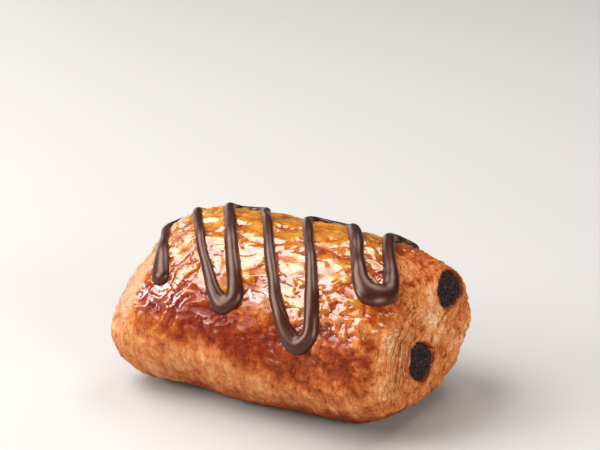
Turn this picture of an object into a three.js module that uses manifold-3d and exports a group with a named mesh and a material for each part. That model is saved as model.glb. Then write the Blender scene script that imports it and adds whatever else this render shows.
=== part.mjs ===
// A pain au chocolat: one rolled loaf of flaky dough with a piped chocolate zigzag on top
// and two chocolate batons that run through it and show at both ends.
// Millimetres, X along the roll, Y to the back, +Z up.
import * as THREE from 'three';
import { mergeVertices } from 'three/addons/utils/BufferGeometryUtils.js';
import Module from 'manifold-3d';

const wasm = await Module();
wasm.setup();

// Loaf, before the lumps
const LENGTH = 95;
const WIDTH = 68.4;
const HEIGHT = 54.7;
const WAIST_HEIGHT = 24.5;
const RIGHT_END_WIDER = 0.05;
const RIGHT_END_TALLER = 0.01;
const CROWN_FULLNESS = 1.85;
const BELLY_FULLNESS = 2.03;
const LEFT_SQUARENESS = { side: 6.0, crown: 3.6, belly: 5.5 };
const RIGHT_SQUARENESS = { side: 5.4, crown: 3.1, belly: 4.3 };
const BASE_CUT = 2.9;

// Lumps and dents of the baked dough: place along the half length, turn from the crest
// towards the front in degrees, reach and height
const LUMPS = [
  { along: -0.60, turn: -6, reach: 13, height: 1.5 },
  { along: 0.36, turn: -6, reach: 13, height: 1.1 },
  { along: 0.76, turn: -12, reach: 12, height: -1.8 },
  { along: -0.87, turn: 2, reach: 9, height: 1.7 },
  { along: -0.97, turn: 55, reach: 12, height: -0.7 },
  { along: -0.99, turn: 95, reach: 14, height: 4.0 },
  { along: -0.85, turn: 118, reach: 14, height: 3.2 },
  { along: -0.10, turn: 128, reach: 18, height: 1.6 },
  { along: 0.78, turn: 125, reach: 13, height: 1.5 },
  { along: 0.985, turn: -70, reach: 14, height: 1.4 },
  { along: 0.945, turn: -38, reach: 9, height: 2.0 },
  { along: 0.96, turn: 150, reach: 13, height: -1.5 },
  { along: -0.45, turn: -75, reach: 16, height: 1.6 },
  { along: 0.30, turn: -110, reach: 15, height: 1.2 },
];

// Crags: long streaks of flaky dough above, wrinkles down the sides, blisters at one
// place on the front and the edges of the rolled layers on the ends
const STREAK = { along: 15, across: 6.5, rise: 0.7 };
const WRINKLE = { along: 8, across: 16, rise: 0.5 };
const BLISTERS = { at: new THREE.Vector3(27, -29, 22), reach: 14, size: 6, rise: 1.0 };
const LAYER_EDGES = { pitch: 7, rise: 0.4, starts: 0.8, full: 0.98 };
const STREAKS_START = WAIST_HEIGHT - 6;
const STREAKS_FULL = WAIST_HEIGHT + 10;
const CRAG_GRID = 3.0;

// Batons: centres at the left and the right end, half width, half height and roll in degrees,
// and how square their corners are
const LOWER_BATON = { left: [-6.8, 22.6], right: [-6.9, 23.1], half: [8.3, 5.1], roll: -38 };
const UPPER_BATON = { left: [11.0, 33.5], right: [12.2, 39.6], half: [6.8, 4.3], roll: 8 };
const BATON_CORNERS = 2.4;
const BATON_GAP = 0.35;
const BATON_SINK = 0.5;
const BATON_SIDES = 28;
const BATON_STATIONS = 10;

// Drizzle: place along the loaf, turn from the crest in degrees and width of each spot the
// piping bag passed, from the first blob to the tail at the right
const DRIZZLE_ROUTE = [
  [-31.6, 60, 6.6], [-33.6, 52, 6.2], [-37, 37, 4.2], [-41, 23, 3.3], [-42.8, 10, 3.7],
  [-42.9, -8, 2.9], [-42.2, -20, 2.8], [-40.2, -26, 2.8], [-38.3, -20, 2.8],
  [-37.2, -10, 2.8], [-34.6, 1, 2.9], [-32, 9, 3],
  [-26.7, 22, 3], [-22.7, 33, 3.1], [-18.7, 42, 3.3], [-15.3, 50, 3.7], [-12.2, 57, 4.5],
  [-8.4, 62.5, 6], [-5.5, 57, 5.2], [-7.3, 47, 4.6], [-11.2, 35, 4.3], [-15.5, 22, 4],
  [-21.1, 6, 3.6], [-26.4, -9, 3.2], [-27.6, -20, 3], [-23.5, -26, 2.9], [-18.4, -23, 2.9],
  [-15, -12, 2.9], [-10.1, 0, 2.9], [-4.2, 16, 3.1], [0.8, 30, 3.5], [5.2, 42, 3.7], [8.7, 53, 4],
  [12.6, 63, 4.5], [16, 71, 5.3], [19.9, 75, 5.8], [22.9, 69, 5], [22.3, 60, 4.5], [19.9, 48, 4.3],
  [17, 37, 3.9], [13.1, 24, 3.5], [8.2, 11, 3], [2.4, -5, 3], [-0.4, -15, 3], [0.6, -22, 2.9],
  [4.8, -25.5, 2.8], [9.4, -24.5, 2.9], [13, -19.5, 3.2], [16, -12, 3.9], [19.4, -4, 4.1],
  [23.9, 8, 4], [27.6, 19, 4.3], [31.6, 30, 5.6], [36, 35.5, 8.1], [39.2, 28, 6.3],
  [37.5, 16, 4.9], [33, 1, 4.1], [29.4, -10, 3.9], [26.6, -19, 4.1], [24.8, -26, 4.3],
  [25.2, -32.5, 4.1], [27, -36, 3.7], [28.8, -38, 3.3], [29, -43, 3], [27.4, -49, 2.8],
];
const DRIZZLE_STEP = 2.6;
const DRIZZLE_HEIGHT = 0.56;
const DRIZZLE_MAX_HEIGHT = 2.3;
const DRIZZLE_SINK = 1.5;
const DRIZZLE_SIDES = 6;
const DRIZZLE_TIGHTEST = 0.8;
const DRIZZLE_END_SIZE = 0.45;
const DRIZZLE_END_GROWTH = 0.4;
const DRIZZLE_FOOT_DRAWN_IN = 0.15;

// Corners nearer than this are one corner
const WELD = 1e-4;

const waistToCrown = HEIGHT - WAIST_HEIGHT;

// How square the loaf's end is in one turn about its long axis
function endSquareness(x, c, s) {
  const end = x < 0 ? LEFT_SQUARENESS : RIGHT_SQUARENESS;
  const upright = s > 0 ? end.crown : end.belly;
  return end.side * c * c + upright * s * s;
}

// How far the round section reaches in one turn, as a share of its half sizes
function sectionReach(c, s) {
  const fullness = s > 0 ? CROWN_FULLNESS : BELLY_FULLNESS;
  return (Math.abs(c) ** fullness + Math.abs(s) ** fullness) ** (-1 / fullness);
}

// The loaf is a little wider and taller towards the right
function tapered(x, y, z) {
  const share = x / (LENGTH / 2);
  const lift = z > 0 ? 1 + (RIGHT_END_TALLER * share * HEIGHT) / waistToCrown : 1;
  return new THREE.Vector3(x, y * (1 + RIGHT_END_WIDER * share), WAIST_HEIGHT + z * lift);
}

// Point of the smooth loaf that lies in a direction from its middle
function loafPointTowards(direction) {
  const halfHeight = direction.z > 0 ? waistToCrown : WAIST_HEIGHT;
  const side = direction.y / (WIDTH / 2);
  const upright = direction.z / halfHeight;
  const across = Math.hypot(side, upright);
  const c = across > 0 ? side / across : 0;
  const s = across > 0 ? upright / across : 1;
  const p = endSquareness(direction.x, c, s);
  const lengthwise = Math.abs(direction.x) / (LENGTH / 2);
  const reach = (lengthwise ** p + (across / sectionReach(c, s)) ** p) ** (-1 / p);
  return tapered(direction.x * reach, direction.y * reach, direction.z * reach);
}

// Point of the smooth loaf at a place along it and a turn from the crest to the front
function loafPointAt(x, turn) {
  const angle = THREE.MathUtils.degToRad(turn);
  const c = -Math.sin(angle);
  const s = Math.cos(angle);
  const p = endSquareness(x, c, s);
  const share = (1 - Math.min(Math.abs(x) / (LENGTH / 2), 1) ** p) ** (1 / p);
  const reach = share * sectionReach(c, s);
  const halfHeight = s > 0 ? waistToCrown : WAIST_HEIGHT;
  return tapered(x, (WIDTH / 2) * c * reach, halfHeight * s * reach);
}

const loafMiddle = new THREE.Vector3(0, 0, WAIST_HEIGHT);

// Direction the dough swells in at a point, that of a plain ellipsoid
function outward(point) {
  const away = point.clone().sub(loafMiddle);
  const halfSizes = new THREE.Vector3(LENGTH / 2, WIDTH / 2, HEIGHT / 2);
  return away.divide(halfSizes).divide(halfSizes).normalize();
}

const lumpCentres = LUMPS.map((lump) => loafPointAt((lump.along * LENGTH) / 2, lump.turn));

function lumpHeight(point) {
  let height = 0;
  LUMPS.forEach((lump, i) => {
    const distance = point.distanceTo(lumpCentres[i]) / lump.reach;
    height += lump.height * Math.exp(-distance * distance);
  });
  return height;
}

// One fixed number between 0 and 1 for each cell of space: large uneven factors scatter
// neighbouring cells
function cellNumber(i, j, k) {
  const mixed = Math.sin(i * 127.1 + j * 311.7 + k * 74.7) * 43758.5453;
  return mixed - Math.floor(mixed);
}

// Smooth unevenness between -1 and 1 that changes over about one unit
function unevenness(x, y, z) {
  const cell = [Math.floor(x), Math.floor(y), Math.floor(z)];
  const eased = [x, y, z].map((v, axis) => THREE.MathUtils.smoothstep(v - cell[axis], 0, 1));
  let total = 0;
  for (let corner = 0; corner < 8; corner++) {
    const step = [corner & 1, (corner >> 1) & 1, corner >> 2];
    const weight = step.reduce((w, on, axis) => w * (on ? eased[axis] : 1 - eased[axis]), 1);
    total += weight * cellNumber(cell[0] + step[0], cell[1] + step[1], cell[2] + step[2]);
  }
  return 2 * total - 1;
}

// Centre line of a baton at one place along the loaf
function batonCentre(baton, x) {
  const share = x / LENGTH + 0.5;
  return baton.left.map((value, axis) => THREE.MathUtils.lerp(value, baton.right[axis], share));
}

function distanceToBaton(baton, point) {
  const [y, z] = batonCentre(baton, point.x);
  return Math.hypot(point.y - y, point.z - z);
}

// Height of the crags on the baked dough
function cragHeight(point) {
  const { x, y, z } = point;
  const above = THREE.MathUtils.smoothstep(z, STREAKS_START, STREAKS_FULL);
  const alongShare = Math.abs(x) / (LENGTH / 2);
  const onEnd = THREE.MathUtils.smoothstep(alongShare, LAYER_EDGES.starts, LAYER_EDGES.full);
  const streak = unevenness(x / STREAK.along, y / STREAK.across, z / STREAK.across);
  const wrinkle = unevenness(x / WRINKLE.along, y / WRINKLE.across, z / WRINKLE.across);
  const blister = unevenness(x / BLISTERS.size, y / BLISTERS.size, z / BLISTERS.size);
  const fromBlisters = point.distanceTo(BLISTERS.at) / BLISTERS.reach;
  const nearest = Math.min(distanceToBaton(LOWER_BATON, point), distanceToBaton(UPPER_BATON, point));
  const layer = Math.cos((2 * Math.PI * nearest) / LAYER_EDGES.pitch);
  const crags = above * STREAK.rise * streak + (1 - above) * WRINKLE.rise * wrinkle
    + BLISTERS.rise * blister * Math.exp(-fromBlisters * fromBlisters);
  return (1 - onEnd) * crags + onEnd * LAYER_EDGES.rise * (layer + streak);
}

// Move a point of the smooth loaf out to the baked crust
function baked(point) {
  return point.clone().addScaledVector(outward(point), lumpHeight(point) + cragHeight(point));
}

// Closed solid from a three.js geometry whose faces meet
function solidOf(geometry) {
  geometry.deleteAttribute('normal');
  geometry.deleteAttribute('uv');
  const welded = mergeVertices(geometry, WELD);
  return new wasm.Manifold(new wasm.Mesh({
    numProp: 3,
    vertProperties: new Float32Array(welded.attributes.position.array),
    triVerts: new Uint32Array(welded.index.array),
  }));
}

// Box whose faces are divided into even cells, blown up into the loaf and then drawn in
// all over by a shrink
function loafSolid(shrink) {
  const cells = [LENGTH, WIDTH, HEIGHT].map((size) => Math.round(size / CRAG_GRID));
  const geometry = new THREE.BoxGeometry(LENGTH, WIDTH, HEIGHT, ...cells);
  const position = geometry.attributes.position;
  for (let i = 0; i < position.count; i++) {
    const corner = new THREE.Vector3().fromBufferAttribute(position, i);
    const point = baked(loafPointTowards(corner));
    point.addScaledVector(outward(point), -shrink);
    position.setXYZ(i, point.x, point.y, point.z);
  }
  return solidOf(geometry);
}

// Closed tube through a row of rings with the same number of points
function tubeOf(rings) {
  const sides = rings[0].length;
  const points = rings.flat();
  const startCentre = points.length;
  const endCentre = points.length + 1;
  [rings[0], rings[rings.length - 1]].forEach((ring) => {
    const centre = new THREE.Vector3();
    ring.forEach((point) => centre.addScaledVector(point, 1 / sides));
    points.push(centre);
  });
  const index = [];
  const lastRing = (rings.length - 1) * sides;
  for (let side = 0; side < sides; side++) {
    const next = (side + 1) % sides;
    for (let start = 0; start < lastRing; start += sides) {
      const [a, b] = [start + side, start + next];
      index.push(a, b, b + sides, a, b + sides, a + sides);
    }
    index.push(startCentre, next, side);
    index.push(endCentre, lastRing + side, lastRing + next);
  }
  const geometry = new THREE.BufferGeometry().setFromPoints(points);
  geometry.setIndex(index);
  return solidOf(geometry);
}

// Bar with rounded corners along a baton's line, wider than the baton by a margin and
// reaching well past both ends of the loaf
function batonBar(baton, margin) {
  const rings = [];
  const roll = THREE.MathUtils.degToRad(baton.roll);
  for (let station = 0; station <= BATON_STATIONS; station++) {
    const x = LENGTH * ((2 * station) / BATON_STATIONS - 1);
    const [y, z] = batonCentre(baton, x);
    const ring = [];
    for (let side = 0; side < BATON_SIDES; side++) {
      const angle = (2 * Math.PI * side) / BATON_SIDES;
      const c = Math.cos(angle);
      const s = Math.sin(angle);
      const reach = (Math.abs(c) ** BATON_CORNERS + Math.abs(s) ** BATON_CORNERS) ** (-1 / BATON_CORNERS);
      const across = new THREE.Vector2(baton.half[0] + margin, baton.half[1] + margin);
      const corner = new THREE.Vector2(reach * c, reach * s).multiply(across);
      corner.rotateAround(new THREE.Vector2(), roll);
      ring.push(new THREE.Vector3(x, y + corner.x, z + corner.y));
    }
    rings.push(ring);
  }
  return tubeOf(rings);
}

// The piped line, evenly stepped over the crust, with the crust's own directions
function drizzleStations() {
  const route = DRIZZLE_ROUTE.map(([x, turn]) => loafPointAt(x, turn));
  const curve = new THREE.CatmullRomCurve3(route, false, 'centripetal');
  const spots = DRIZZLE_ROUTE.map(([x, turn, width]) => new THREE.Vector3(x, turn, width));
  const settings = new THREE.CatmullRomCurve3(spots, false, 'centripetal');
  const count = Math.round(curve.getLength() / DRIZZLE_STEP);
  const stations = [];
  for (let i = 0; i <= count; i++) {
    const share = curve.getUtoTmapping(i / count);
    const spot = settings.getPoint(share);
    const middle = loafPointAt(spot.x, spot.y);
    stations.push({ centre: baked(middle), out: outward(middle), width: spot.z });
  }
  return stations;
}

// Rounded ridge of chocolate along the piped line, sunk into the crust it lies on
function drizzleSolid() {
  const stations = drizzleStations();
  const last = stations.length - 1;
  const rings = stations.map(({ centre, out, width }, i) => {
    const before = stations[Math.max(i - 1, 0)].centre;
    const after = stations[Math.min(i + 1, last)].centre;
    const forward = after.clone().sub(before).normalize();
    const sideways = new THREE.Vector3().crossVectors(out, forward).normalize();
    const turned = after.clone().add(before).sub(centre).sub(centre);
    const step = after.distanceTo(before) / 2;
    const bend = turned.dot(sideways) / (step * step);
    const fromEnd = Math.min(i, last - i);
    const rounding = Math.min(1, DRIZZLE_END_SIZE + fromEnd * DRIZZLE_END_GROWTH);
    const half = (width / 2) * rounding;
    const height = Math.min(DRIZZLE_HEIGHT * width, DRIZZLE_MAX_HEIGHT) * rounding;
    const ring = [];
    for (let side = 0; side <= DRIZZLE_SIDES; side++) {
      const angle = (Math.PI * side) / DRIZZLE_SIDES;
      let offset = half * Math.cos(angle);
      if (offset * bend > DRIZZLE_TIGHTEST) offset = DRIZZLE_TIGHTEST / bend;
      ring.push(centre.clone().addScaledVector(sideways, offset)
        .addScaledVector(out, height * Math.sin(angle)));
    }
    const foot = [ring[DRIZZLE_SIDES], ring[0]].map((edge) => edge.clone()
      .addScaledVector(out, -DRIZZLE_SINK).lerp(centre, DRIZZLE_FOOT_DRAWN_IN));
    return [...ring, ...foot];
  });
  return tubeOf(rings);
}

const crustWhole = loafSolid(0);
const tableSide = new THREE.BoxGeometry(2 * LENGTH, 2 * WIDTH, HEIGHT);
tableSide.translate(0, 0, BASE_CUT - HEIGHT / 2);
const belowBase = solidOf(tableSide);
const pastrySolid = crustWhole.add(drizzleSolid()).subtract(belowBase)
  .subtract(batonBar(LOWER_BATON, BATON_GAP)).subtract(batonBar(UPPER_BATON, BATON_GAP));
const withinCrust = loafSolid(BATON_SINK);
const lowerSolid = batonBar(LOWER_BATON, 0).intersect(withinCrust);
const upperSolid = batonBar(UPPER_BATON, 0).intersect(withinCrust);

const bounds = pastrySolid.boundingBox();
const toOrigin = [0, 1].map((axis) => -(bounds.min[axis] + bounds.max[axis]) / 2);

function part(name, solid, material) {
  const mesh = solid.getMesh();
  const geometry = new THREE.BufferGeometry();
  geometry.setAttribute('position', new THREE.BufferAttribute(new Float32Array(mesh.vertProperties), 3));
  geometry.setIndex(new THREE.BufferAttribute(new Uint32Array(mesh.triVerts), 1));
  geometry.translate(toOrigin[0], toOrigin[1], -bounds.min[2]);
  geometry.computeVertexNormals();
  const built = new THREE.Mesh(geometry, material);
  built.name = name;
  return built;
}

const crustMaterial = new THREE.MeshStandardMaterial({ color: 0xb9682c, roughness: 0.5, metalness: 0 });
const chocolateLower = new THREE.MeshStandardMaterial({ color: 0x2a1a18, roughness: 0.8, metalness: 0 });
const chocolateUpper = chocolateLower.clone();

const painAuChocolat = new THREE.Group();
painAuChocolat.name = 'pain_au_chocolat';
painAuChocolat.add(
  part('pastry', pastrySolid, crustMaterial),
  part('chocolate_baton_lower', lowerSolid, chocolateLower),
  part('chocolate_baton_upper', upperSolid, chocolateUpper),
);

export default painAuChocolat;
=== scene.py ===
# %% [markdown]
# # A pain au chocolat
# The real thing is one roll of laminated dough, baked until it is golden and glossy above and matt
# at the sides. Melted chocolate is piped over it in a zigzag, and two chocolate batons run through
# it. The packed part brings the solids. They stay where they are, and each piece made here stands
# in for one of them. Shapes are worked out in millimetres and turned into metres at the end.

# %% Load the packed part
import math

import bmesh
import bpy
import numpy as np
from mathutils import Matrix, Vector
from mathutils.bvhtree import BVHTree


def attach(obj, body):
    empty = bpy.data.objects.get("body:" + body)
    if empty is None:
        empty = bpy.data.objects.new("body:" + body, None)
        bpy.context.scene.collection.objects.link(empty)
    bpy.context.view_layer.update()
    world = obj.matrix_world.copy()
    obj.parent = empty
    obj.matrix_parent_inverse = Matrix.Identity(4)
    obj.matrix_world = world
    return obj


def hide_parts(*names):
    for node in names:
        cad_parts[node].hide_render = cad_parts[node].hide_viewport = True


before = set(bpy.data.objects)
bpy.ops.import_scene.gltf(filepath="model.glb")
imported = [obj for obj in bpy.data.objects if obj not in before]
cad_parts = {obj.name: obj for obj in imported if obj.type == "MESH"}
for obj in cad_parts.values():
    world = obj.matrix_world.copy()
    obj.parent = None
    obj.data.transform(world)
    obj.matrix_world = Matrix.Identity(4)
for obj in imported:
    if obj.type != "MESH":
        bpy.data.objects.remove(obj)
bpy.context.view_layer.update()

MM = 0.001

# %% [markdown]
# ## The loaf's plain form
# The dough was rolled round the batons, so its section is a soft oval and its ends are blunt. A
# squashed, squared-off ball describes that with few numbers: half sizes, how full the section is
# above and below, and how square each end is. The same numbers shape the packed solid, so the two
# agree. Places on the loaf are given by x along it and by the turn round it, in degrees from the
# crest to the front.

# %% Sizes of the loaf and its batons
LENGTH, WIDTH, HEIGHT = 95.0, 68.4, 54.7
WAIST = 24.5
RIGHT_END_WIDER, RIGHT_END_TALLER = 0.05, 0.01
CROWN_FULLNESS, BELLY_FULLNESS = 1.85, 2.03
LEFT_END = {"side": 6.0, "crown": 3.6, "belly": 5.5}
RIGHT_END = {"side": 5.4, "crown": 3.1, "belly": 4.3}
BASE_CUT = 2.9
LUMPS = [  # place along the half length, turn, reach and height of each swelling or dent
    (-0.60, -6, 13, 1.5), (0.36, -6, 13, 1.1), (0.76, -12, 12, -1.8), (-0.87, 2, 9, 1.7),
    (-0.97, 55, 12, -0.7), (-0.99, 95, 14, 4.0), (-0.85, 118, 14, 3.2), (-0.10, 128, 18, 1.6),
    (0.78, 125, 13, 1.5), (0.985, -70, 14, 1.4), (0.945, -38, 9, 2.0), (0.96, 150, 13, -1.5),
    (-0.45, -75, 16, 1.6), (0.30, -110, 15, 1.2)]
LOWER_BATON = {"left": (-6.8, 22.6), "right": (-6.9, 23.1), "half": (8.3, 5.1), "roll": -38}
UPPER_BATON = {"left": (11.0, 33.5), "right": (12.2, 39.6), "half": (6.8, 4.3), "roll": 8}
print("loaf", LENGTH, "by", WIDTH, "by", HEIGHT, "mm before it is cut flat below")


# %% Points of the plain form
def end_squareness(x, c, s):
    """How square the end is at one turn, where c points to the back and s points up."""
    left = np.where(s > 0, LEFT_END["crown"], LEFT_END["belly"])
    right = np.where(s > 0, RIGHT_END["crown"], RIGHT_END["belly"])
    side = np.where(x < 0, LEFT_END["side"], RIGHT_END["side"])
    return side * c * c + np.where(x < 0, left, right) * s * s


def section_reach(c, s):
    """How far the section of the middle reaches one way, as a share of its half size."""
    fullness = np.where(s > 0, CROWN_FULLNESS, BELLY_FULLNESS)
    return (np.abs(c) ** fullness + np.abs(s) ** fullness) ** (-1 / fullness)


def tapered(x, y, z):
    """The right end is a little wider and taller than the left one."""
    share = x / (LENGTH / 2)
    lift = np.where(z > 0, 1 + RIGHT_END_TALLER * share * HEIGHT / (HEIGHT - WAIST), 1)
    return np.stack([x, y * (1 + RIGHT_END_WIDER * share), WAIST + z * lift], -1)


def loaf_towards(direction):
    """Points of the plain loaf that lie in these directions from its middle."""
    dx, dy, dz = direction.T
    side, upright = dy / (WIDTH / 2), dz / np.where(dz > 0, HEIGHT - WAIST, WAIST)
    across = np.maximum(np.hypot(side, upright), 1e-9)
    c, s = side / across, upright / across
    p = end_squareness(dx, c, s)
    reach = ((np.abs(dx) / (LENGTH / 2)) ** p + (across / section_reach(c, s)) ** p) ** (-1 / p)
    return tapered(dx * reach, dy * reach, dz * reach)


def loaf_at(x, turn):
    """Points of the plain loaf at places along it and turns round it."""
    c, s = -np.sin(np.radians(turn)), np.cos(np.radians(turn))
    p = end_squareness(x, c, s)
    share = (1 - np.clip(np.abs(x) / (LENGTH / 2), 0, 1) ** p) ** (1 / p)
    reach = share * section_reach(c, s)
    return tapered(x, WIDTH / 2 * c * reach, np.where(s > 0, HEIGHT - WAIST, WAIST) * s * reach)


print("crest", loaf_at(np.array([0.0]), np.array([0.0]))[0].round(1), "mm")


# %% Broad lumps and dents
def unit(v):
    """The same vectors at length one."""
    return v / np.maximum(np.linalg.norm(v, axis=-1, keepdims=True), 1e-9)


def outward(points):
    """The way out of the loaf at these points, as on a plain stretched ball."""
    halves = np.array([LENGTH, WIDTH, HEIGHT]) / 2
    return unit((points - np.array([0, 0, WAIST])) / halves ** 2)


def swollen(points):
    """The points after the dough has swelled and sunk at its lumps."""
    height = np.zeros(len(points))
    for along, turn, reach, rise in LUMPS:
        centre = loaf_at(np.array([along * LENGTH / 2]), np.array([turn]))[0]
        height += rise * np.exp(-((points - centre) ** 2).sum(1) / reach ** 2)
    return points + outward(points) * height[:, None]


rises = [lump[3] for lump in LUMPS]
print(len(LUMPS), "lumps from", min(rises), "to", max(rises), "mm")

# %% [markdown]
# ## Unevenness from fixed numbers
# Baked dough is nowhere smooth. Each kind of roughness starts from numbers that are tied to cells of
# space, so that the same crags come back on every run. One helper fades smoothly between the cells.
# The other finds the nearest of many scattered seeds, which breaks a surface into plates like flakes.


# %% Numbers of cells, and a soft step
def cell_number(i, j, k, salt=0.0):
    """A number from 0 to 1 that looks random but is always the same for one cell."""
    mixed = np.sin(i * 127.1 + j * 311.7 + k * 74.7 + salt) * 43758.5453
    return mixed - np.floor(mixed)


def step_up(value, low, high):
    """0 below low, 1 above high and a soft rise between."""
    share = np.clip((value - low) / (high - low), 0, 1)
    return share * share * (3 - 2 * share)


def bell(value, middle, reach):
    """1 at the middle, falling softly to nothing over about twice the reach."""
    return np.exp(-((value - middle) / reach) ** 2)


print("a few cell numbers", cell_number(np.arange(3), 1, 2).round(3))


# %% Smooth unevenness
def unevenness(points, sizes, salt=0.0):
    """Smooth values from -1 to 1 that change over about the given sizes."""
    scaled = points / np.asarray(sizes, float)
    cell = np.floor(scaled)
    part = scaled - cell
    eased = part * part * (3 - 2 * part)
    total = np.zeros(len(points))
    for corner in range(8):
        step = np.array([corner & 1, (corner >> 1) & 1, corner >> 2])
        weight = np.where(step, eased, 1 - eased).prod(1)
        total += weight * cell_number(*(cell + step).T, salt)
    return 2 * total - 1


def layered_unevenness(points, sizes, layers, salt=0.0):
    """Unevenness with finer and fainter layers laid over it."""
    sizes = np.asarray(sizes, float)
    parts = [unevenness(points, sizes / 2 ** n, salt + 17.3 * n) / 2 ** n for n in range(layers)]
    return sum(parts) / (2 - 2.0 ** (1 - layers))


print("between", unevenness(np.array([[0.3, 0.6, 0.2], [4.0, 1.5, 2.2]]), (1, 1, 1)).round(2))


# %% Tilted plates, as flakes have
def plates(points, sizes, tilt, salt=0.0, blend=0.22):
    """Heights of tilted plates round scattered seeds, and how far each point is from a seam."""
    scaled = points / np.asarray(sizes, float)
    cell = np.floor(scaled)
    best = np.full((2, len(points)), 9.0)
    height = np.zeros((2, len(points)))
    for n in range(27):
        home = cell + np.array([n % 3, n // 3 % 3, n // 9]) - 1
        seed = home + np.stack([cell_number(*home.T, salt + q) for q in (1.7, 5.1, 9.4)], 1)
        away = scaled - seed
        distance = np.linalg.norm(away, axis=1)
        slopes = np.stack([cell_number(*home.T, salt + q) * 2 - 1 for q in (2.3, 6.6, 8.8)], 1)
        lift = tilt * (away * slopes).sum(1) + 0.3 * tilt * (cell_number(*home.T, salt + 3.9) * 2 - 1)
        first = distance < best[0]
        second = ~first & (distance < best[1])
        height[1] = np.where(first, height[0], np.where(second, lift, height[1]))
        best[1] = np.where(first, best[0], np.where(second, distance, best[1]))
        height[0] = np.where(first, lift, height[0])
        best[0] = np.where(first, distance, best[0])
    from_seam = best[1] - best[0]
    inside = step_up(from_seam, 0, blend)
    return 0.5 * (height[0] + height[1]) + 0.5 * inside * (height[0] - height[1]), from_seam


print("plates", plates(np.array([[0.3, 0.6, 0.2]]), (1, 1, 1), 1.0)[0].round(2))

# %% [markdown]
# ## The piped line
# The chocolate ran from a piping bag that swung to and fro across the crest. It is described by the
# spots it passed: place along the loaf, turn from the crest and width. A smooth curve joins the
# spots. The dough needs this line too, because its crust is calm where the chocolate covers it.

# %% The route of the drizzle
ROUTE = np.array([
    [-31.6, 60, 6.6], [-33.6, 52, 6.2], [-37, 37, 4.2], [-41, 23, 3.3], [-42.8, 10, 3.7],
    [-42.9, -8, 2.9], [-42.2, -20, 2.8], [-40.2, -26, 2.8], [-38.3, -20, 2.8],
    [-37.2, -10, 2.8], [-34.6, 1, 2.9], [-32, 9, 3], [-26.7, 22, 3], [-22.7, 33, 3.1],
    [-18.7, 42, 3.3], [-15.3, 50, 3.7], [-12.2, 57, 4.5], [-8.4, 62.5, 6], [-5.5, 57, 5.2],
    [-7.3, 47, 4.6], [-11.2, 35, 4.3], [-15.5, 22, 4], [-21.1, 6, 3.6], [-26.4, -9, 3.2],
    [-27.6, -20, 3], [-23.5, -26, 2.9], [-18.4, -23, 2.9], [-15, -12, 2.9], [-10.1, 0, 2.9],
    [-4.2, 16, 3.1], [0.8, 30, 3.5], [5.2, 42, 3.7], [8.7, 53, 4], [12.6, 63, 4.5],
    [16, 71, 5.3], [19.9, 75, 5.8], [22.9, 69, 5], [22.3, 60, 4.5], [19.9, 48, 4.3],
    [17, 37, 3.9], [13.1, 24, 3.5], [8.2, 11, 3], [2.4, -5, 3], [-0.4, -15, 3], [0.6, -22, 2.9],
    [4.8, -25.5, 2.8], [9.4, -24.5, 2.9], [13, -19.5, 3.2], [16, -12, 3.9], [19.4, -4, 4.1],
    [23.9, 8, 4], [27.6, 19, 4.3], [31.6, 30, 5.6], [36, 35.5, 7.9], [39.2, 28, 6.3],
    [37.5, 16, 4.9], [33, 1, 4.1], [29.4, -10, 3.9], [26.6, -19, 4.1], [24.8, -26, 4.3],
    [25.2, -32.5, 4.1], [27, -36, 3.7], [28.8, -38, 3.3], [29, -43, 3], [27.4, -49, 2.8]])
PIPING_STEP = 0.45


def smooth_run(spots, step):
    """Evenly stepped rows of a curve that passes through the spots."""
    gaps = np.linalg.norm(np.diff(spots[:, :3], axis=0), axis=1)
    knots = np.concatenate([[0], np.cumsum(gaps ** 0.5)])
    slopes = np.gradient(spots, knots, axis=0)
    where = np.linspace(0, knots[-1], 4000)
    k = np.clip(np.searchsorted(knots, where, side="right") - 1, 0, len(knots) - 2)
    span = (knots[k + 1] - knots[k])[:, None]
    t = (where - knots[k])[:, None] / span
    rows = ((2 * t**3 - 3 * t**2 + 1) * spots[k] + (t**3 - 2 * t**2 + t) * span * slopes[k]
            + (3 * t**2 - 2 * t**3) * spots[k + 1] + (t**3 - t**2) * span * slopes[k + 1])
    run = np.concatenate([[0], np.cumsum(np.linalg.norm(np.diff(rows[:, :3], axis=0), axis=1))])
    even = np.linspace(0, run[-1], int(run[-1] / step) + 1)
    return np.stack([np.interp(even, run, rows[:, n]) for n in range(rows.shape[1])], 1)


spot_points = swollen(loaf_at(ROUTE[:, 0], ROUTE[:, 1]))
piped = smooth_run(np.hstack([spot_points, ROUTE]), PIPING_STEP)
piped_points, piped_widths = piped[:, :3], piped[:, 5]
print("piped line", round(len(piped) * PIPING_STEP), "mm long in", len(piped), "steps")

# %% [markdown]
# ## The dough's skin
# A flat-sided box, cut into even cells and blown up into the loaf, gives small squares of nearly one
# size all over, with no crowded poles as on a globe. Every crag is then a height over that skin.

# %% An even skin of squares
CELLS = (168, 120, 96)


def box_skin(sizes, cells):
    """Vertices and square faces of a box whose six sides are divided evenly."""
    corners, squares, start = [], [], 0
    for axis in range(3):
        u_axis, v_axis = (axis + 1) % 3, (axis + 2) % 3
        u, v = np.meshgrid(np.arange(cells[u_axis] + 1), np.arange(cells[v_axis] + 1), indexing="ij")
        for end in (0, cells[axis]):
            grid = np.zeros(u.shape + (3,), int)
            grid[..., axis], grid[..., u_axis], grid[..., v_axis] = end, u, v
            index = start + np.arange(u.size).reshape(u.shape)
            ring = [index[:-1, :-1], index[1:, :-1], index[1:, 1:], index[:-1, 1:]]
            squares.append(np.stack(ring if end else ring[::-1], -1).reshape(-1, 4))
            corners.append(grid.reshape(-1, 3))
            start += u.size
    corners, squares = np.concatenate(corners), np.concatenate(squares)
    unique, index = np.unique(corners, axis=0, return_inverse=True)
    return (unique / np.array(cells) - 0.5) * np.array(sizes), index.reshape(-1)[squares]


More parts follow.
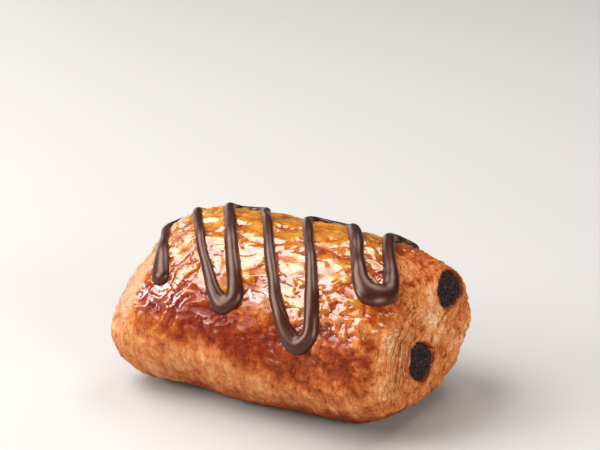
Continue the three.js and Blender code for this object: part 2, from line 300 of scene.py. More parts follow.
def vertex_normals(points, squares):
    """The way each point of the skin faces."""
    crossing = np.cross(points[squares[:, 2]] - points[squares[:, 0]],
                        points[squares[:, 3]] - points[squares[:, 1]])
    normals = np.zeros_like(points)
    for corner in range(4):
        np.add.at(normals, squares[:, corner], crossing)
    return unit(normals)


directions, squares = box_skin((LENGTH, WIDTH, HEIGHT), CELLS)
base = swollen(loaf_towards(directions))
normals = vertex_normals(base, squares)
x, y, z = base.T
turn = np.degrees(np.arctan2(-y, np.where(z > WAIST, z - WAIST, (z - WAIST) * 1.1)))
print(len(base), "points and", len(squares), "squares")

# %% [markdown]
# ## Zones of the crust
# Egg wash was brushed over the top and ran a little way down the sides. Below it the dough stayed
# matt. Both ends are cut, so they show the dough's layers and were never washed. The wash reaches
# further right on the front than behind the crest, and on the left shoulder it stops short. All the
# borders between these zones wander.

# %% Where each kind of crust lies
wander = layered_unevenness(base, (9, 9, 9), 3, 40.0)
wash_end = 33.0 + 9.5 * step_up(turn, 4, 40)  # how far right the wash goes
left_wash_end = 43.2 - 5.0 * bell(turn, 52, 26)  # and how far left
left_end = step_up(-x + 2.5 * wander - left_wash_end, -1.6, 1.6)
cut_end = np.maximum(step_up(x + 2.0 * wander - wash_end, -1.2, 1.8), left_end)
down_side = np.abs(turn) - 0.12 * x + 9 * wander + 5 * unevenness(base, (2.2, 9, 9), 43.0)
glossy = (1 - cut_end) * (1 - step_up(down_side, 78, 96))
low = (1 - cut_end) * step_up(down_side, 84, 104)
craggy = step_up(np.abs(turn) + 9 * wander, 50, 64) * step_up(x + 5 * wander, 4, 18) * (1 - cut_end)
print("glossy share", glossy.mean().round(2), "cut ends", cut_end.mean().round(2))


# %% Where the chocolate covers it
AT_ONCE = 4000


def nearest_on_line(points, line):
    """Distance from each point to a line of many points, and which of them is nearest."""
    nearest, index = np.zeros(len(points)), np.zeros(len(points), int)
    for start in range(0, len(points), AT_ONCE):
        part = slice(start, start + AT_ONCE)
        square = ((points[part, None, :] - line[None, :, :]) ** 2).sum(2)
        index[part] = square.argmin(1)
        nearest[part] = np.sqrt(square.min(1))
    return nearest, index


to_line, which = nearest_on_line(base, piped_points[::3])
under_drizzle = 1 - step_up(to_line - piped_widths[::3][which] / 2, -0.6, 0.5)
print("covered share", under_drizzle.mean().round(3))

# %% [markdown]
# ## Relief
# The packed solid carries only the broad streaks and blisters, and they come first here too. Over
# them lie the finer things: flakes and creases in the washed top, round crags on the front, wrinkles
# low down, and on the ends the edges of the rolled layers, rough crumb and a few cracks.


# %% Broad streaks and blisters
def beside_baton(baton, points):
    """Place of each point across the loaf, measured from a baton's middle line."""
    share = (points[:, :1] / LENGTH + 0.5)
    return points[:, 1:] - (np.array(baton["left"]) * (1 - share) + np.array(baton["right"]) * share)


BATONS = (LOWER_BATON, UPPER_BATON)
crown = step_up(z, WAIST - 6, WAIST + 10)
on_end = step_up(np.abs(x) / (LENGTH / 2), 0.8, 0.98)
streak = unevenness(base, (15, 6.5, 6.5))
wrinkle = unevenness(base, (8, 16, 16))
blister = unevenness(base, (6, 6, 6)) * np.exp(-((base - np.array([27, -29, 22])) ** 2).sum(1) / 14 ** 2)
nearest_baton = np.min([np.linalg.norm(beside_baton(baton, base), axis=1) for baton in BATONS], axis=0)
coarse = (1 - on_end) * (crown * 0.7 * streak + (1 - crown) * 0.5 * wrinkle + blister)
coarse += on_end * 0.4 * (np.cos(2 * np.pi * nearest_baton / 7) + streak)
print("broad relief from", coarse.min().round(2), "to", coarse.max().round(2), "mm")

# %% Flakes and creases of the washed top
bent = base + 1.7 * np.stack([layered_unevenness(base, (7, 4, 4), 2, s) for s in (3.0, 8.0, 13.0)], 1)
FOLD_AXES = np.linalg.qr(np.array([[-0.55, -0.50, -0.67], [0.3, -0.8, 0.5], [0.8, 0.1, 0.0]]).T)[0]
slanted = bent @ FOLD_AXES
long_plates, long_seam = plates(bent, (9.5, 4.2, 4.2), 0.90, 1.0)
slanted_plates, slanted_seam = plates(slanted, (11, 3.2, 3.2), 1.20, 17.0)
small_plates, small_seam = plates(bent, (3.2, 1.7, 1.7), 0.60, 21.0)
round_plates, round_seam = plates(bent, (4.6, 4.6, 4.6), 1.30, 33.0)
slant = step_up(-x + 5 * wander, 12, 28)
front_crags = bell(np.abs(turn), 72, 13)
flakes = (1 - craggy) * ((1 - slant) * long_plates + slant * slanted_plates) + craggy * round_plates
flakes += (0.50 + 0.30 * craggy + 0.60 * front_crags) * small_plates
seam = (1 - craggy) * ((1 - slant) * long_seam + slant * slanted_seam) + craggy * round_seam
crease = np.exp(-seam / 0.12) + 0.4 * np.exp(-small_seam / 0.10)
ripples = 1 - 2 * np.abs(layered_unevenness(bent, (7, 1.7, 1.7), 2, 47.0))
print("flakes from", flakes.min().round(2), "to", flakes.max().round(2), "mm")

# %% Wrinkles low on the side
lengthwise = step_up(np.abs(turn) + 0.6 * x + 8 * wander, 92, 118)
side_folds = (1 - lengthwise) * layered_unevenness(bent, (2.0, 12, 8), 3, 55.0)
side_folds += lengthwise * layered_unevenness(bent, (10, 2.0, 2.0), 3, 56.0)
side_dents = layered_unevenness(bent, (5.5, 5.5, 5.5), 3, 57.0)
grit = layered_unevenness(base, (1.4, 1.4, 1.4), 2, 59.0)
print("share of lengthwise wrinkles", (low * lengthwise).mean().round(2))

# %% Layers and rough crumb on the cut ends
LAYER_PITCH = 2.4
layer_depth = nearest_baton + 0.9 * layered_unevenness(base, (8, 8, 8), 2, 71.0)
clear_layers = bell(y, -19.5, 6) * bell(z, 27, 10) + 0.6 * bell(y, -9.5, 5) * bell(z, 42, 5)
layered = 0.25 + 0.25 * unevenness(base, (7, 7, 7), 77.0) + 1.05 * clear_layers
layer_edge = np.cos(2 * np.pi * layer_depth / LAYER_PITCH) * layered
end_rough = layered_unevenness(bent, (2.6, 2.2, 2.2), 3, 88.0)
end_dents = layered_unevenness(bent, (5.5, 5.5, 5.5), 3, 91.0)
print("layers clearest at", layered.max().round(2))

# %% Cracks in the right end
CRACKS = [  # places across the end, as y and z, and the crack's width
    ([(-3.2, 45.9), (1.0, 44.9), (6.0, 43.8)], 0.9),
    ([(-2.9, 27.6), (0.8, 29.3), (5.0, 32.0), (8.2, 34.2)], 0.5),
    ([(5.7, 21.2), (9.6, 18.6), (8.0, 15.3)], 0.5),
    ([(-16.8, 40.2), (-16.6, 37.2)], 0.6),
    ([(-11.5, 36.5), (-9.5, 34.0), (-10.5, 32.0)], 0.4),
    ([(12.0, 28.0), (15.5, 25.5)], 0.4)]


def beside_line(points, places):
    """Distance in a plane from points to a line of straight pieces."""
    nearest = np.full(len(points), 1e9)
    for first, second in zip(places[:-1], places[1:]):
        first, second = np.array(first), np.array(second)
        share = ((points - first) @ (second - first) / ((second - first) ** 2).sum()).clip(0, 1)
        foot = first + share[:, None] * (second - first)
        nearest = np.minimum(nearest, np.linalg.norm(points - foot, axis=1))
    return nearest


crack = np.zeros(len(base))
ragged = bent[:, 1:] * 0.35 + base[:, 1:] * 0.65
for places, width in CRACKS:
    crack = np.maximum(crack, bell(beside_line(ragged, places), 0, width))
crack *= step_up(x, 34, 38) * step_up(unevenness(base, (2.2, 2.2, 2.2), 95.0), -0.7, 0.2)
print(len(CRACKS), "cracks over", (crack > 0.5).mean().round(4), "of the skin")

# %% All the fine relief together
# the washed top
fine = glossy * (0.85 * flakes - 0.22 * crease + 0.14 * ripples + 0.06 * grit)
# the matt side, and the front's crags where they reach down into it
fine += low * (0.50 * side_folds + 0.55 * side_dents + 0.12 * small_plates + 0.20 * grit)
low_crags = craggy * (1 - step_up(np.abs(turn) + 8 * wander, 94, 108))
fine += low * low_crags * (1.20 * round_plates + 0.55 * small_plates)
# the cut ends, and the border between the three
fine += cut_end * (0.15 * layer_edge + 0.50 * end_rough + 0.70 * end_dents + 0.45 * grit - 0.45 * crack)
fine += (1 - glossy - low - cut_end).clip(0) * (0.7 * round_plates + 0.3 * grit)
fine *= 1 - 0.75 * under_drizzle
facing = vertex_normals(base + normals * coarse[:, None], squares)
plain_crust = base + outward(base) * coarse[:, None]
crust = plain_crust + facing * fine[:, None]
print("fine relief from", fine.min().round(2), "to", fine.max().round(2), "mm")

# %% [markdown]
# ## Pockets for the batons
# At both ends the dough closes round the chocolate with a thin browned lip. The packed batons say
# where that is. Points of the skin that lie close to a baton's outline are moved onto it, so that
# the edge is clean. Those within it are pressed in, and those just outside it are raised a little.
# The pocket walls and the edge are darkened too, partly as browned dough, partly as painted shade.

# %% Press in the pockets and raise their lips
BATON_CORNERS, BATON_GAP, POCKET = 2.4, 0.35, 5.0
SNAP, EDGE_OFFSET, LIP_HEIGHT = 0.36, 0.06, 0.35
ENDS_FROM, FAR_OFF = 34, 9.0
plain_tree = BVHTree.FromPolygons(plain_crust.tolist(), squares.tolist())
crust_tree = BVHTree.FromPolygons(crust.tolist(), squares.tolist())


def outside_baton(baton, points, margin):
    """About how far points lie outside a baton's rounded and rolled section."""
    offset = beside_baton(baton, points)
    c, s = np.cos(np.radians(baton["roll"])), np.sin(np.radians(baton["roll"]))
    rolled = np.stack([offset[:, 0] * c + offset[:, 1] * s, offset[:, 1] * c - offset[:, 0] * s], 1)
    share = np.abs(rolled) / (np.array(baton["half"]) + margin)
    reach = (share ** BATON_CORNERS).sum(1) ** (1 / BATON_CORNERS)
    return np.linalg.norm(offset, axis=1) * (1 - 1 / np.maximum(reach, 1e-6))


lip, rim, pocket = np.zeros((3, len(crust)))
for baton in BATONS:
    apart = outside_baton(baton, crust, BATON_GAP) + 0.25 * unevenness(crust, (2.5, 2.5, 2.5), 91.0)
    apart = np.where(np.abs(crust[:, 0]) > ENDS_FROM, apart, FAR_OFF)
    onto_edge = np.where(np.abs(apart) < SNAP, EDGE_OFFSET * np.sign(apart) - apart, 0.0)
    crust[:, 1:] += unit(beside_baton(baton, crust)) * onto_edge[:, None]
    apart = apart + onto_edge
    pocket = np.maximum(pocket, apart < 0)
    lip = np.maximum(lip, bell(apart, 0.8, 0.7))
    # a dark ring on the pocket walls and at the edge: partly browned dough, partly painted shade
    rim = np.maximum(rim, bell(np.maximum(apart, 0), 0, 0.6))
crust += facing * (LIP_HEIGHT * lip * (1 - pocket))[:, None]
crust[:, 0] -= np.sign(crust[:, 0]) * POCKET * pocket
crust[:, 2] = np.maximum(crust[:, 2], BASE_CUT)
print("pocket points", int(pocket.sum()))

# %% [markdown]
# ## Browning, with painted light and shade
# The crust's colour follows the heat it took, with painted light and shade laid over it. Hollows,
# creases and cracks are painted darker as shade, ridges lighter as painted light, a red-brown band
# runs along the front where the wash thins out, and the bottom edge browned on the tray. The upper
# left end is painted pale where the light from the left falls on it. The wash itself shines in
# brushed patches, and that is kept apart.

# %% Patches, tongues and the front band
patches = layered_unevenness(base, (11, 8, 8), 3, 101.0)
small_patches = layered_unevenness(base, (4, 3, 3), 2, 105.0)
tongues = layered_unevenness(bent, (2.6, 16, 12), 2, 109.0)
front_band = bell(np.abs(turn), 74 + 10 * step_up(x, -20, 15), 12)
front_band *= 1 - 0.75 * step_up(-x, 20, 34) - 0.70 * step_up(x, 16, 30)
print("front band over", (front_band > 0.5).mean().round(2), "of the skin")

# %% Browning, painted shade and painted light
# the golden crest and the red-brown band
baked = 0.43 - 0.17 * bell(turn, 0, 28) + 0.14 * patches + 0.14 * small_patches
baked += front_band * (0.60 + 0.24 * patches + 0.2 * tongues) * (1 - cut_end)
# painted shade in hollows and creases, painted light on ridges, and the crags a little browner
baked += 0.34 * np.clip(-fine, 0, 1) - 0.24 * np.clip(fine, 0, 1)
baked += glossy * (0.14 * np.clip(crease, 0, 1) - 0.12 * ripples) + 0.09 * craggy
# the matt side, with a browner strip near the tray
baked += low * (-0.16 + 0.30 * side_folds + 0.20 * tongues
                - 0.07 * bell(x, 3, 16) + 0.06 * step_up(x, 0, 25))
baked += 0.34 * low * bell(z, 8.5, 4.5) * step_up(x, -30, -12)
# the cut ends, with painted shade in the cracks, and the line along the right one where the wash
# gathered
baked += cut_end * (0.27 * step_up(z, 36, 47) - 0.18 * step_up(z, 13, 23) + 0.30 * crack)
top_edge = (1 - cut_end) * (1 - step_up(np.abs(turn), 48, 62))
baked += 0.20 * top_edge * bell(x + 2.0 * wander, wash_end - 2, 2.5)
# painted light on the upper left end, and the browned bottom edge
baked -= 0.22 * left_end * step_up(z, 20, 34)
baked += 0.30 * step_up(-z, -9, -3)
baked = np.clip(baked, 0, 0.80)
# pale dough low on the side, and painted light on the upper left end
pale = 0.9 * left_end * step_up(z, 4, 40) + 0.14 * low
print("baked from", baked.min().round(2), "to", baked.max().round(2))

# %% Shine of the egg wash
brushed = layered_unevenness(slanted * slant[:, None] + bent * (1 - slant[:, None]), (7, 3, 3), 3, 131.0)
wash_edge = 61 + 18 * step_up(-x, 18, 30) + 8 * step_up(x, 8, 22)
shine = step_up(glossy, 0.35, 0.75) * (1 - 0.94 * step_up(np.abs(turn) - wash_edge + 8 * wander, -8, 8))
shine *= 0.15 + 0.85 * step_up(brushed, -0.40, -0.10)
# none on the front's right corner, and glints on the ridges of the red-brown band
shine *= 1 - step_up(x + 4 * wander, 34, 42) * step_up(np.abs(turn) + 6 * wander, 58, 72)
shine += (0.15 + 0.5 * step_up(-x, 5, 20)) * front_band * glossy * step_up(fine, 0.15, 0.5)
print("mean shine of the washed crust", (shine.sum() / glossy.sum()).round(2))

# %% [markdown]
# ## From numbers to pieces
# All forms so far are in the loaf's own millimetres, with its middle near zero. The packed part
# stands with its lowest corner on the floor and its middle over the origin, so one shift brings
# every piece to its place. The values worked out above are kept at the dough's points.

# %% Turn points and faces into pieces
TO_ORIGIN = np.array([1.0338, 0.0348, -BASE_CUT])


def piece(name, points, faces, values=None):
    """A smooth object from points in loaf millimetres, with named values kept at its points."""
    mesh = bpy.data.meshes.new(name)
    mesh.from_pydata(((points + TO_ORIGIN) * MM).tolist(), [], faces)
    mesh.polygons.foreach_set("use_smooth", np.ones(len(faces), bool))
    for label, value in (values or {}).items():
        mesh.attributes.new(label, "FLOAT", "POINT").data.foreach_set("value", value.astype(np.float32))
    made = bpy.data.objects.new(name, mesh)
    bpy.context.scene.collection.objects.link(made)
    return made


def closed_tube(name, rings):
    """A piece made of rings of points, with a fan of triangles over each open end."""
    rows, sides = rings.shape[:2]
    points = np.concatenate([rings.reshape(-1, 3), [rings[0].mean(0), rings[-1].mean(0)]])
    here = np.arange(rows * sides).reshape(rows, sides)
    onward = np.roll(here, -1, axis=1)
    faces = np.stack([here[:-1], onward[:-1], onward[1:], here[1:]], -1).reshape(-1, 4).tolist()
    for middle, row in ((rows * sides, 0), (rows * sides + 1, -1)):
        faces += [(middle, int(a), int(b)) for a, b in zip(here[row], onward[row])]
    made = piece(name, points, faces)
    shape = bmesh.new()
    shape.from_mesh(made.data)
    bmesh.ops.recalc_face_normals(shape, faces=shape.faces)
    shape.to_mesh(made.data)
    shape.free()
    return made


dough = piece("dough", crust, squares.tolist(), {
    "baked": baked, "glossy": glossy * (1 - 0.55 * craggy), "cut_end": cut_end, "rim": rim,
    "pale": pale, "shine": shine, "layer_depth": layer_depth, "layered": layered * cut_end})
print("dough", len(dough.data.vertices), "points")

# %% [markdown]
# ## Piped chocolate
# The melted line set as a smooth rope with a flat foot: wide where the bag turned and slowed, thin
# where it hurried over the crest. A row of rounded rings follows the piped line. Where a turn is so
# tight that the rings cross, remaking the skin from small cubes melts them together, as the warm
# chocolate did, and a little smoothing leaves its surface as calm as the real one.

# %% The line laid on the crust
LOOK_FROM, CALM_REACH = 8, 9


def on_crust(points, out):
    """Heights of the baked skin over these points, along their outward directions."""
    heights = np.zeros(len(points))
    for n, (point, way) in enumerate(zip(points, out)):
        hit = crust_tree.ray_cast(Vector(point + LOOK_FROM * way), Vector(-way), 2 * LOOK_FROM)
        heights[n] = LOOK_FROM - hit[3] if hit[0] is not None else 0
    return heights


def calmed(values, reach):
    """Values smoothed along the line."""
    kernel = np.exp(-np.linspace(-2, 2, 2 * reach + 1) ** 2)
    padded = np.pad(values, reach, mode="edge")
    return np.convolve(padded, kernel / kernel.sum(), mode="valid")


piped_out = outward(piped_points)
spine = piped_points + piped_out * calmed(on_crust(piped_points, piped_out), CALM_REACH)[:, None]
forward = unit(np.gradient(spine, axis=0))
sideways = unit(np.cross(piped_out, forward))
up = unit(np.cross(forward, sideways))
print("line from", spine[0].round(1), "to", spine[-1].round(1))

# %% Rings along the line
RING, FOOT, THICKEST, SPREAD, BLUNT = 28, 1.3, 2.35, 0.16, 0.12
steps = np.arange(len(spine)) * PIPING_STEP
from_end = np.minimum(steps, steps[-1] - steps)
wobble = 1 + 0.05 * unevenness(np.stack([steps, steps * 0, steps * 0], 1), (5, 1, 1), 120.0)
half = (piped_widths / 2 + SPREAD) * wobble
closing = np.sqrt(1 - (1 - np.clip(from_end / half, 0, 1)) ** 2)
closing = np.maximum(closing, BLUNT)
tall = np.minimum(0.52 * piped_widths + 0.1, THICKEST) * closing
angles = np.linspace(0, 2 * np.pi, RING, endpoint=False)
above = np.sin(angles).clip(0, None)
below = (-np.sin(angles)).clip(0, None) ** 0.6
to_side = (half * closing)[:, None] * np.cos(angles)
upward = tall[:, None] * above - FOOT * below
rings = (spine[:, None, :] + sideways[:, None, :] * to_side[..., None]
         + up[:, None, :] * upward[..., None])
print("drizzle up to", tall.max().round(2), "mm thick")

# %% Melt the rings into one rope
CUBE, CALM_SHARE, CALM_ROUNDS = 0.30, 0.5, 36
rope = closed_tube("drizzle_rings", rings)
cubes = rope.modifiers.new("melt", "REMESH")
cubes.mode, cubes.voxel_size, cubes.use_smooth_shade = "VOXEL", CUBE * MM, True
calm = rope.modifiers.new("calm", "SMOOTH")
calm.factor, calm.iterations = CALM_SHARE, CALM_ROUNDS
bpy.context.view_layer.update()
melted = bpy.data.meshes.new_from_object(rope.evaluated_get(bpy.context.evaluated_depsgraph_get()))
bpy.data.objects.remove(rope)
drizzle = bpy.data.objects.new("drizzle", melted)
bpy.context.scene.collection.objects.link(drizzle)
melted.polygons.foreach_set("use_smooth", np.ones(len(melted.polygons), bool))
print("drizzle", len(melted.vertices), "points", len(melted.polygons), "faces")

# %% [markdown]
# ## Batons
# The chocolate for baking holds its bar shape in the oven and turns dry and crumbly at the open
# ends. Each baton is a long bar on the packed baton's line, and its ends follow the loaf's curve, a
# little back from it, with pits and crumbs pressed into them.

# %% A bar with crumbly ends
SIDES, END_RINGS, LENGTH_RINGS = 110, 30, 24
LOOK_IN_FROM, LOOK_IN_BY, ENDS_AT = 80, 90, 44
SET_BACK, ROUNDED_EDGE, PIT_DEPTH, CRUMB_HEIGHT = 0.10, 0.45, 0.45, 0.40


def end_reach(places, side):
    """How far along X the plain baked end reaches over these places."""
    reach = np.zeros(len(places))
    for n, (across, height) in enumerate(places):
        outside = Vector((side * LOOK_IN_FROM, across, height))
        hit = plain_tree.ray_cast(outside, Vector((-side, 0, 0)), LOOK_IN_BY)
        reach[n] = hit[0][0] if hit[0] is not None else side * ENDS_AT
    return reach


def baton_end(middle, outline, side, salt):
    """Rings from the middle of one open end to its edge."""
    shares = np.linspace(0.02, 1, END_RINGS) ** 0.8
    flat = (np.array(middle) + shares[:, None, None] * outline).reshape(-1, 2)
    reach = end_reach(flat, side)
    spot = np.column_stack([reach, flat])
    pits = np.exp(-plates(spot, (1.3, 1.3, 1.3), 1.0, salt)[1] / 0.12)
    crumbs = layered_unevenness(spot, (1.6, 1.6, 1.6), 3, salt + 4)
    edge = np.repeat(shares, SIDES) ** 6
    inset = SET_BACK + ROUNDED_EDGE * edge + PIT_DEPTH * pits - CRUMB_HEIGHT * crumbs
    return np.column_stack([reach - side * inset, flat]).reshape(END_RINGS, SIDES, 3)


def baton_rings(baton, salt):
    """Rings over the left end, along the bar and over the right end."""
    angles = np.linspace(0, 2 * np.pi, SIDES, endpoint=False)
    circle = np.stack([np.cos(angles), np.sin(angles)], 1)
    corners = (np.abs(circle) ** BATON_CORNERS).sum(1) ** (-1 / BATON_CORNERS)
    c, s = np.cos(np.radians(baton["roll"])), np.sin(np.radians(baton["roll"]))
    outline = circle * corners[:, None] * np.array(baton["half"]) @ np.array([[c, s], [-s, c]])
    left = baton_end(baton["left"], outline, -1, salt)
    right = baton_end(baton["right"], outline, 1, salt)
    share = np.linspace(0, 1, LENGTH_RINGS + 2)[1:-1, None, None]
    return np.concatenate([left, left[-1] * (1 - share) + right[-1] * share, right[::-1]])


lower_baton = closed_tube("baton_lower", baton_rings(LOWER_BATON, 210.0))
upper_baton = closed_tube("baton_upper", baton_rings(UPPER_BATON, 230.0))
print("batons", len(lower_baton.data.polygons), "faces each")

# %% [markdown]
# ## Materials
# Shader maths is easier to read as plain arithmetic. A small class wraps one socket, so that adding
# or multiplying two of them adds the matching Math node. A bench holds one material and adds any
# other node by one method.

# %% A value that does its own arithmetic
class Value:
    """One socket's output, with arithmetic that adds Math nodes."""

    def __init__(self, bench, socket):
        self.bench = bench
        self.socket = socket

    def math(self, operation, *others):
        """A Math node that takes this value first."""
        return self.bench.math(operation, self, *others)

    def __add__(self, other):
        return self.math("ADD", other)

    def __mul__(self, other):
        return self.math("MULTIPLY", other)

    def __sub__(self, other):
        return self.math("SUBTRACT", other)

    def __rsub__(self, other):
        return self.bench.math("SUBTRACT", other, self)

    def __abs__(self):
        return self.math("ABSOLUTE")

    __radd__ = __add__
    __rmul__ = __mul__

    def between(self, low, high):
        """0 where the value is under low, 1 where it is over high."""
        return self.bench.node("ShaderNodeMapRange", {"interpolation_type": "SMOOTHSTEP"},
                               {"Value": self, "From Min": low, "From Max": high})


print("arithmetic", [name for name in vars(Value) if name.startswith("__r")])


# %% A bench for one material
class Bench:
    """A material's nodes, laid out one by one."""

    def __init__(self, name):
        self.material = bpy.data.materials.new(name)
        self.material.use_nodes = True
        self.tree = self.material.node_tree
        self.shader = self.tree.nodes["Principled BSDF"]

    def fill(self, socket, given):
        """Link a value to a socket, or set a plain number or colour on it."""
        if isinstance(given, Value):
            self.tree.links.new(given.socket, socket)
        else:
            socket.default_value = given

    def node(self, kind, settings=None, sockets=None, output=0):
        """Add any node, choose its settings, fill its sockets and hand back one output."""
        made = self.tree.nodes.new(kind)
        for key, setting in (settings or {}).items():
            setattr(made, key, setting)
        for key, given in (sockets or {}).items():
            self.fill(made.inputs[key], given)
        return Value(self, made.outputs[output])

    def math(self, operation, *values):
        """A Math node with these values in its sockets."""
        return self.node("ShaderNodeMath", {"operation": operation}, dict(enumerate(values)))

    def point_value(self, name):
        """A value kept at the points of the mesh."""
        return self.node("ShaderNodeAttribute", {"attribute_name": name}, output="Fac")

    def noise(self, per_metre, detail=3.0, stretch=(1, 1, 1)):
        """Cloudy values round one half, fixed to the piece."""
        where = self.node("ShaderNodeTexCoord", output="Object")
        scaled = self.node("ShaderNodeMapping", None, {"Vector": where, "Scale": stretch})
        return self.node("ShaderNodeTexNoise", None,
                         {"Vector": scaled, "Scale": per_metre, "Detail": detail})

    def ramp(self, value, stops):
        """Colours that follow a value, from a list of places and colours."""
        ramp = self.node("ShaderNodeValToRGB", None, {"Fac": value})
        elements = ramp.socket.node.color_ramp.elements
        while len(elements) < len(stops):
            elements.new(0.5)
        for element, (place, colour) in zip(elements, stops):
            element.position, element.color = place, (*colour, 1)
        return ramp

    def mix(self, share, first, second):
        """One colour fading into another."""
        sockets = {0: share, 6: first, 7: second}
        return self.node("ShaderNodeMix", {"data_type": "RGBA"}, sockets, output=2)

    def bump(self, height, distance, strength=1.0, over=None):
        """Fine relief that only bends the light, laid over an earlier one."""
        sockets = {"Height": height, "Distance": distance, "Strength": strength}
        if over is not None:
            sockets["Normal"] = over
        return self.node("ShaderNodeBump", None, sockets)

    def finish(self, **sockets):
        """Fill the shader's own sockets and hand back the material."""
        for name, given in sockets.items():
            self.fill(self.shader.inputs[name.replace("_", " ")], given)
        return self.material


print("bench can", [name for name in vars(Bench) if not name.startswith("_")])

# %% [markdown]
# ### Baked crust
# Egg wash bakes to a clear, golden-brown gloss, and dough that it didn't reach stays matt and tan.
# The browning kept at the points, with its painted shade and painted light, picks the colour from
# two ramps, one for washed and one for matt crust. The palest dough, with the painted light on the
# upper left end, and the dark lips round the batons, partly browned and partly painted shade, get a
# colour each. Noise breaks it all up further: fine speckles, clouds, streaks down the side and thin
# creases, painted darker as shade. The edges of the dough's layers and the gaps between them are too
# fine for the mesh, so they are drawn here as well: the edges lighter as painted light, the gaps
# darker as painted shade.

# %% Tone of the crust
bench = Bench("crust")
gloss = bench.point_value("glossy")
end = bench.point_value("cut_end")
matt_share = 1 - gloss.between(0.2, 0.8)
side_share = matt_share * (1 - end)
speckle = bench.noise(1400, 4)
cloud = bench.noise(380, 3)
streaks = bench.noise(520, 4, (1.2, 0.3, 0.3))
layer_waves = bench.point_value("layer_depth") * (4 * math.pi / LAYER_PITCH)
layer_waves = layer_waves + speckle * 4.0 + cloud * 5.0
layers = layer_waves.math("COSINE") * bench.point_value("layered")
# the gaps between the layers, painted darker as shade
layer_gap_shade = 1 - layers.between(-1.1, -0.3)
# thin creases, used as dents and painted darker as shade
creases = 1 - abs(bench.noise(430, 5, (1.0, 0.55, 0.55)) - 0.5).between(0.0, 0.035)
tone = bench.point_value("baked") + (speckle - 0.5) * (0.50 - 0.24 * side_share) + (cloud - 0.5) * 0.45
# painted light on the layer edges, painted shade in the gaps between them and in the creases
tone = tone + (streaks - 0.5) * 0.40 * side_share - layers * 0.07 + layer_gap_shade * 0.18
tone = tone + creases * (0.15 + 0.09 * matt_share - 0.09 * side_share)
print("crust tone from", len(bench.tree.nodes), "nodes")

# %% Colours of the crust
washed = bench.ramp(tone, [
    (0.05, (0.52, 0.25, 0.030)), (0.28, (0.43, 0.150, 0.013)), (0.50, (0.32, 0.062, 0.005)),
    (0.72, (0.22, 0.022, 0.003)), (0.95, (0.12, 0.009, 0.002))])
matt = bench.ramp(tone, [
    (0.0, (0.77, 0.49, 0.30)), (0.12, (0.67, 0.30, 0.12)), (0.35, (0.55, 0.17, 0.045)),
    (0.65, (0.32, 0.060, 0.011)), (0.95, (0.15, 0.018, 0.003))])
# the ring colour is partly browned dough, partly painted shade; the pale colour also carries painted
# light
RIM_SHADE_COLOUR, PALE_DOUGH_AND_PAINTED_LIGHT = (0.14, 0.018, 0.010, 1), (0.465, 0.300, 0.178, 1)
crust_colour = bench.mix(matt_share, washed, matt)
# the pale colour: pale dough low on the side, painted light on the upper left end
crust_colour = bench.mix(bench.point_value("pale") * (1.1 - tone * 1.3), crust_colour, PALE_DOUGH_AND_PAINTED_LIGHT)
# dark ring round the batons: partly browned lip, partly painted shade
crust_colour = bench.mix(bench.point_value("rim") * 0.9, crust_colour, RIM_SHADE_COLOUR)
print("washed crust from", tuple(washed.socket.node.color_ramp.elements[0].color)[:3])

# %% Surface of the crust
pores = bench.bump(bench.noise(2200, 3), 0.00030, 0.25 + 0.7 * matt_share)
crinkles = bench.noise(700, 5, (0.35, 1, 1)) - creases * 0.25 * matt_share
crinkled = bench.bump(crinkles, 0.0006, 0.62 + 0.1 * matt_share, pores)
wrinkled = bench.bump(streaks, 0.0012, 0.9 * side_share, crinkled)
relief = bench.bump(layers, 0.00032, 1.0, wrinkled)
wash_thickness = bench.point_value("shine") * (0.75 + cloud * 0.5).math("MINIMUM", 1.0)
crust_material = bench.finish(
    Base_Color=crust_colour, Roughness=0.58 - gloss * 0.22 + (speckle - 0.5) * 0.12,
    Coat_Weight=wash_thickness, Coat_Roughness=0.11, Coat_IOR=1.75, Specular_IOR_Level=0.08,
    Normal=relief)
dough.data.materials.append(crust_material)
print("crust", len(bench.tree.nodes), "nodes")

# %% [markdown]
# ### Chocolate
# Piped chocolate sets with a satin shine, dark and a little red. The baked batons are duller and
# almost black, with pale specks on their crumbs painted as glints and darker ones as painted shade.

# %% Piped chocolate and batons
bench = Bench("piped_chocolate")
drizzle.data.materials.append(bench.finish(
    Base_Color=(0.034, 0.006, 0.0035, 1), Roughness=0.35, Specular_IOR_Level=0.62,
    Specular_Tint=(1.0, 0.71, 0.57, 1), Normal=bench.bump(bench.noise(300, 2), 0.0003, 0.15)))

bench = Bench("baton_chocolate")
# pale specks are painted glints on the crumbs, the darkest ones painted shade in the pits
specks_with_painted_glints_and_shade = bench.ramp(bench.noise(1900, 4), [
    (0.42, (0.006, 0.002, 0.003)), (0.56, (0.030, 0.013, 0.015)), (0.72, (0.10, 0.064, 0.068))])
baton_material = bench.finish(Base_Color=specks_with_painted_glints_and_shade, Roughness=0.7, Specular_IOR_Level=0.15,
                              Normal=bench.bump(bench.noise(1500, 4), 0.0005, 0.8))
for baton in (lower_baton, upper_baton):
    baton.data.materials.append(baton_material)
print("materials", [material.name for material in bpy.data.materials])

# %% [markdown]
# ## Floor, light and camera
# A wide soft light above and to the left draws the band of shine along the front of the crest, and a
# small window, lower on that side, puts the crisp glints on the left shoulder. A weak one behind
# lifts the far edge, a faint rim light picks out the left end, and two low ones fill the front and
# the right end. The camera looks down a little, from the right of the front, through a long lens.

# %% Floor and lights
floor_material = Bench("floor").finish(Base_Color=(0.46, 0.45, 0.44, 1), Roughness=0.6)
bpy.ops.mesh.primitive_plane_add(size=6, location=(0, 0, 0))
floor = bpy.context.object
floor.name = "floor"
floor.data.materials.append(floor_material)


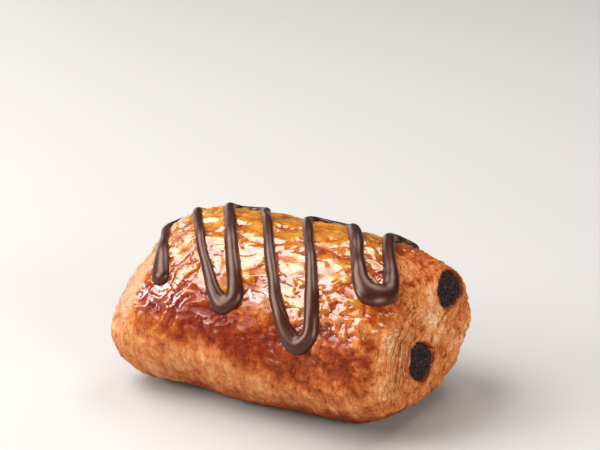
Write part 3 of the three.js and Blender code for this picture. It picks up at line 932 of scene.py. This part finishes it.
def soft_light(name, towards, distance, size, power, tint):
    """A rectangular light at a distance from the loaf, facing its middle."""
    data = bpy.data.lights.new(name, "AREA")
    data.shape, data.size, data.size_y = "RECTANGLE", size[0], size[1]
    data.energy, data.color = power, tint
    light = bpy.data.objects.new(name, data)
    middle = Vector((0, 0, 0.025))
    light.location = middle + Vector(towards).normalized() * distance
    light.rotation_euler = (middle - light.location).to_track_quat("-Z", "Y").to_euler()
    bpy.context.scene.collection.objects.link(light)
    return light


lights = [
    soft_light("top_softbox", (-0.52, -0.16, 0.84), 0.8, (0.80, 0.50), 10.2, (1.0, 0.97, 0.95)),
    soft_light("back_light", (0.10, 0.50, 0.86), 0.8, (0.45, 0.35), 3.0, (1.0, 0.97, 0.94)),
    soft_light("left_window", (-0.66, -0.62, 0.43), 0.8, (0.42, 0.24), 4.6, (1.0, 0.98, 0.96)),
    soft_light("rim_light", (-0.84, 0.52, 0.12), 0.8, (0.5, 0.3), 0.8, (1.0, 0.98, 0.96)),
    soft_light("front_fill", (0.30, -0.95, 0.22), 1.1, (0.9, 0.3), 1.9, (1.0, 0.98, 0.95)),
    soft_light("right_fill", (0.95, -0.30, 0.30), 1.1, (0.7, 0.5), 9.0, (1.0, 0.98, 0.95))]
print(len(lights), "lights,", sum(light.data.energy for light in lights), "W in all")

# %% A faint glow from all round
world = bpy.data.worlds.new("studio")
world.use_nodes = True
world.node_tree.nodes["Background"].inputs["Color"].default_value = (1, 1, 1, 1)
world.node_tree.nodes["Background"].inputs["Strength"].default_value = 0.05
bpy.context.scene.world = world
bpy.context.scene.view_settings.view_transform = "Standard"
print("world", world.name)

# %% Camera
AZIMUTH, ELEVATION, DISTANCE = math.radians(30), math.radians(23), 0.760
SENSOR, PIXELS_PER_MM, IMAGE_WIDTH = 36, 3.217, 600
AIM_HEIGHT, SHIFT = 23.75, (4, 96)
back = Vector((math.sin(AZIMUTH) * math.cos(ELEVATION), -math.cos(AZIMUTH) * math.cos(ELEVATION),
               math.sin(ELEVATION)))
camera_data = bpy.data.cameras.new("camera")
camera_data.sensor_width = SENSOR
camera_data.lens = PIXELS_PER_MM * DISTANCE / MM / IMAGE_WIDTH * SENSOR
camera_data.shift_x, camera_data.shift_y = SHIFT[0] / IMAGE_WIDTH, SHIFT[1] / IMAGE_WIDTH
camera_data.clip_start, camera_data.clip_end = 0.01, 50
camera = bpy.data.objects.new("camera", camera_data)
camera.location = Vector((TO_ORIGIN + np.array([0, 0, AIM_HEIGHT])) * MM) + back * DISTANCE
camera.rotation_euler = (-back).to_track_quat("-Z", "Y").to_euler()
bpy.context.scene.collection.objects.link(camera)
bpy.context.scene.camera = camera
print("lens", round(camera_data.lens, 1), "mm")

# %% [markdown]
# ## Hand the pieces over
# Each piece rides with the part and stands for the solid that it dresses. The dough and the drizzle
# are two pieces here, because they differ in colour and shine, but one solid in the part.

# %% Attach the pieces and hide the solids they stand for
for made, node, slot_name in (
        (dough, "pastry", "crust"), (drizzle, "pastry", "crust"),
        (lower_baton, "chocolate_baton_lower", "baton_chocolate_lower"),
        (upper_baton, "chocolate_baton_upper", "baton_chocolate_upper")):
    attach(made, "root")
    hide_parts(node)
